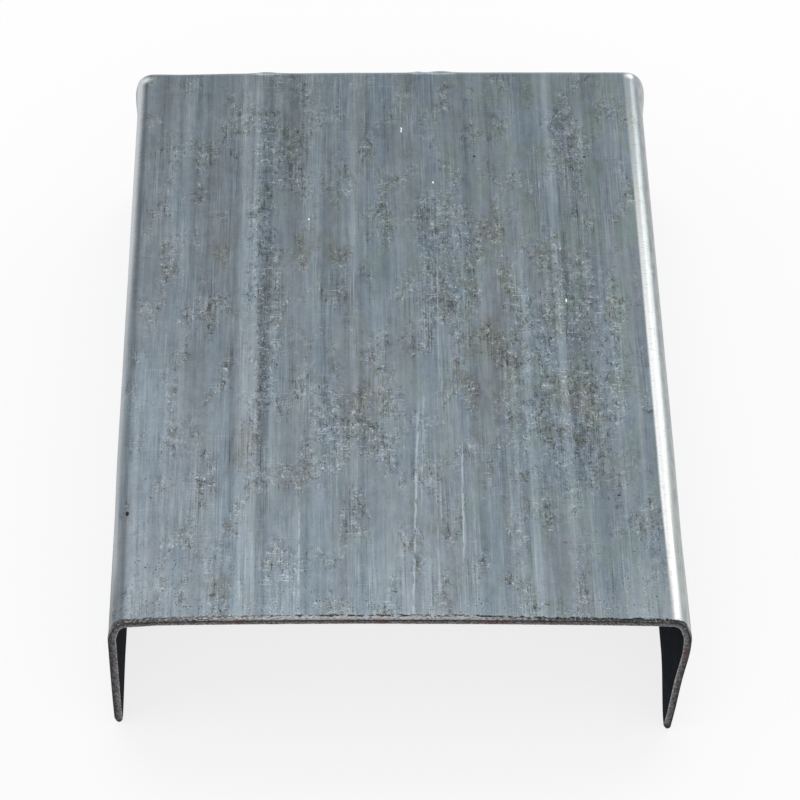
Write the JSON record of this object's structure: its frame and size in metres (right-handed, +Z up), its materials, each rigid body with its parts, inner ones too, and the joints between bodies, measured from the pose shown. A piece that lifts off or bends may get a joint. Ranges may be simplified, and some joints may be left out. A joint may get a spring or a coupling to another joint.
{
  "type": "aluminum channel",
  "caption": "Short offcut of U-shaped channel bent from sheet, with a wide flat web, rounded bends, plain flanges and sheared ends.",
  "frame": {"origin": "on the floor, under the middle of the web, level with the lower edges of the two flanges", "axes": "+X across the web, +Y along the length, +Z up through the web"},
  "size_m": [0.15, 0.197, 0.05],
  "materials": {
    "mill_aluminium": "dull, stained mill finish with fine lines along the length, rubbed brighter on the bends"
  },
  "bodies": {
    "root": {"channel": "mill_aluminium"}
  },
  "joints": []
}
